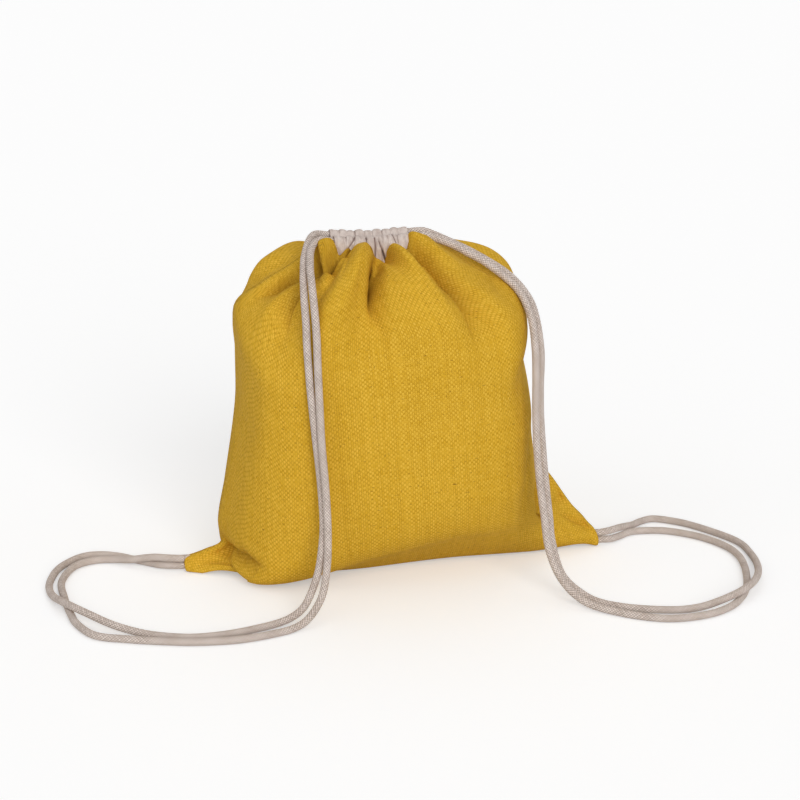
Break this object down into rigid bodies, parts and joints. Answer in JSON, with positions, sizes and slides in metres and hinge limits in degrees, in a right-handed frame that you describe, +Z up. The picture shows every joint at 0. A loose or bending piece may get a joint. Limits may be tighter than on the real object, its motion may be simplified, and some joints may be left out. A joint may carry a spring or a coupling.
{
  "type": "drawstring backpack",
  "caption": "Drawstring backpack of coarse woven cloth, filled and cinched, with cotton channels and cord straps that end in the bottom corners.",
  "frame": {"origin": "on the ground under the middle of the bag, midway between the tips of the two bottom corners", "axes": "+X to the right of someone who faces the bag's front, along the bottom seam; the front faces -Y; +Z up"},
  "size_m": [0.5882, 0.2705, 0.2832],
  "materials": {
    "jute": "coarse plain weave, matt",
    "cotton": "gathered twill, matt",
    "cord": "round braid, matt",
    "thread": "overlocked cloth edge, matt"
  },
  "bodies": {
    "root": {"front_panel": "jute", "back_panel": "jute", "front_channel": "cotton", "back_channel": "cotton", "left_cord_channel_run": "cord", "right_cord_channel_run": "cord", "left_strap_front_strand": "cord", "left_strap_back_strand": "cord", "right_strap_front_strand": "cord", "right_strap_back_strand": "cord", "left_front_cord_tail": "cord", "left_back_cord_tail": "cord", "right_front_cord_tail": "cord", "right_back_cord_tail": "cord", "left_side_overlock": "thread", "right_side_overlock": "thread", "bottom_overlock": "thread"}
  },
  "joints": []
}
